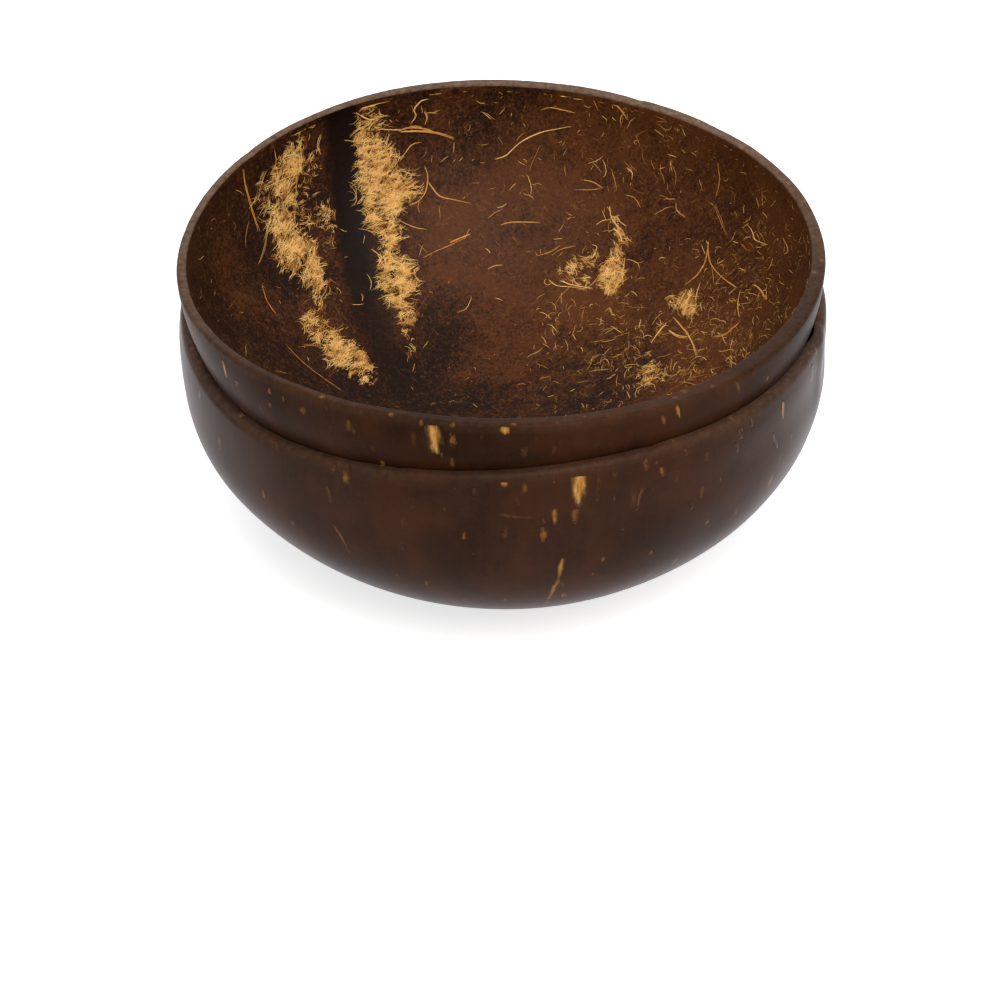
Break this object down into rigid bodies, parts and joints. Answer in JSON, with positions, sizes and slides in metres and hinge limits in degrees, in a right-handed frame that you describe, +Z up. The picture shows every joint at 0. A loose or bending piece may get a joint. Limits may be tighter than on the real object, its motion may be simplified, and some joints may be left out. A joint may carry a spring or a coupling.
{
  "type": "coconut shell bowl",
  "caption": "Nested pair of polished coconut shell bowls with flat sanded feet and fibrous insides; the upper bowl lifts out of the lower one.",
  "frame": {"origin": "centre of the lower bowl's flat foot, on the surface that it stands on", "axes": "+Z up along the bowls' common axis; -Y towards the viewer of the picture, +X to the right"},
  "size_m": [0.1364, 0.1364, 0.062],
  "materials": {
    "lower_shell": "satin polished coconut shell, dark brown with small golden flecks",
    "upper_shell": "satin coconut shell, polished outside, with short golden husk fibres left on the inside",
    "husk_fibre": "dry pale husk fibre lying on the shell"
  },
  "bodies": {
    "lower_bowl": {"lower_bowl": "lower_shell"},
    "upper_bowl": {"upper_bowl": "upper_shell"}
  },
  "joints": [
    {"name": "upper_bowl_lift", "type": "slide", "parent": "lower_bowl", "child": "upper_bowl", "axis": [0, 0, 1], "range_m": [0, 0.055]}
  ]
}
